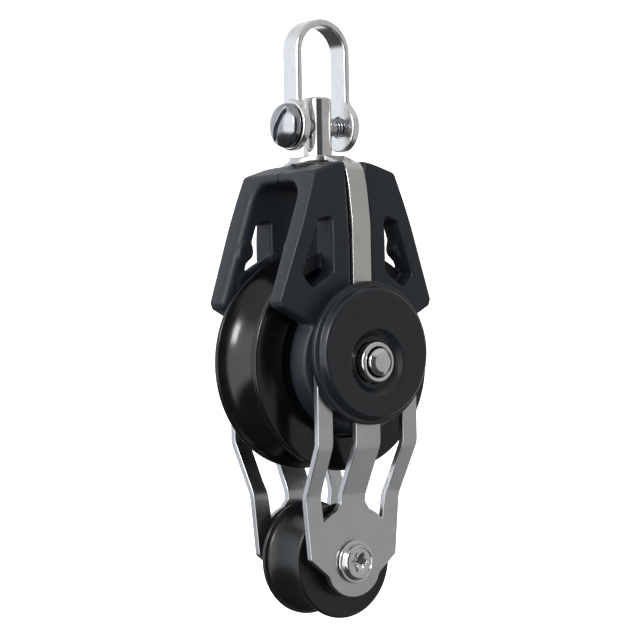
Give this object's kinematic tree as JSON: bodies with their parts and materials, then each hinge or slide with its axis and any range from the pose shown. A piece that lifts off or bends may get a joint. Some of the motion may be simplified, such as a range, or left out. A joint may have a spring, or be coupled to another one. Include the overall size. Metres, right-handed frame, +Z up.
{
  "type": "swivel fiddle block",
  "caption": "Rope pulley block for a sailing boat: a large ball-bearing sheave above a small one in line, hung from a swivel post and a bow shackle with a slotted pin.",
  "frame": {"origin": "the load point: the inside of the shackle bow's crown, on the block's centre line", "axes": "+Z up along the block towards the shackle's crown, Y along the sheave axles with the front at -Y, X across the cheeks with the shackle pin's head at -X"},
  "size_m": [0.06, 0.0544, 0.1665],
  "materials": {
    "shell_plastic": "glass-filled nylon, fine matt texture",
    "cap_plastic": "satin black moulded cap",
    "sheave_plastic": "glossy black acetal",
    "turned_plastic": "black acetal with fine turning lines",
    "bearing_plastic": "natural acetal",
    "plate_steel": "satin brushed stainless steel",
    "strap_steel": "tumbled stainless steel with polished edges",
    "polished_steel": "bright polished stainless steel"
  },
  "bodies": {
    "shackle": {"shackle_bow": "polished_steel"},
    "shackle_pin": {"shackle_pin": "polished_steel"},
    "swivel": {"swivel_post": "polished_steel", "swivel_washer": "bearing_plastic"},
    "block_frame": {"load_strap": "strap_steel", "axle_pin": "polished_steel", "axle_hub": "polished_steel", "front_shell": "shell_plastic", "front_fork_plate": "plate_steel", "front_hub_cap": "cap_plastic", "front_axle_collar": "polished_steel", "front_ball_retainer": "bearing_plastic", "front_spacer_washer": "polished_steel", "rear_shell": "shell_plastic", "rear_fork_plate": "plate_steel", "rear_hub_cap": "cap_plastic", "rear_axle_collar": "polished_steel", "rear_ball_retainer": "bearing_plastic", "rear_spacer_washer": "polished_steel", "lower_axle_screw": "polished_steel", "lower_axle_sleeve": "polished_steel"},
    "upper_sheave": {"upper_sheave": "sheave_plastic"},
    "bearing_balls": {"bearing_ball_01": "bearing_plastic", "bearing_ball_02": "bearing_plastic", "bearing_ball_03": "bearing_plastic", "bearing_ball_04": "bearing_plastic", "bearing_ball_05": "bearing_plastic", "bearing_ball_06": "bearing_plastic", "bearing_ball_07": "bearing_plastic", "bearing_ball_08": "bearing_plastic", "bearing_ball_09": "bearing_plastic", "bearing_ball_10": "bearing_plastic", "bearing_ball_11": "bearing_plastic", "bearing_ball_12": "bearing_plastic", "bearing_ball_13": "bearing_plastic", "bearing_ball_14": "bearing_plastic"},
    "lower_sheave": {"lower_sheave": "turned_plastic", "lower_bush": "bearing_plastic"}
  },
  "joints": [
    {"name": "pin_withdrawal", "type": "slide", "parent": "shackle", "child": "shackle_pin", "axis": [-1, 0, 0], "range_m": [0, 0.022]},
    {"name": "shackle_tilt", "type": "hinge", "parent": "shackle", "child": "swivel", "pos_m": [0, 0, -0.0279], "axis": [1, 0, 0], "range_deg": [-100, 100]},
    {"name": "swivel_spin", "type": "hinge", "parent": "swivel", "child": "block_frame", "pos_m": [0, 0, -0.0386], "axis": [0, 0, 1], "continuous": true},
    {"name": "upper_sheave_spin", "type": "hinge", "parent": "block_frame", "child": "upper_sheave", "pos_m": [0, 0, -0.0936], "axis": [0, 1, 0], "continuous": true},
    {"name": "ball_orbit", "type": "hinge", "parent": "block_frame", "child": "bearing_balls", "pos_m": [0, 0, -0.0936], "axis": [0, 1, 0], "continuous": true},
    {"name": "lower_sheave_spin", "type": "hinge", "parent": "block_frame", "child": "lower_sheave", "pos_m": [0, 0, -0.1485], "axis": [0, 1, 0], "continuous": true}
  ],
  "couplings": [
    {"joint": "ball_orbit", "follows": "upper_sheave_spin", "ratio": 0.597}
  ]
}
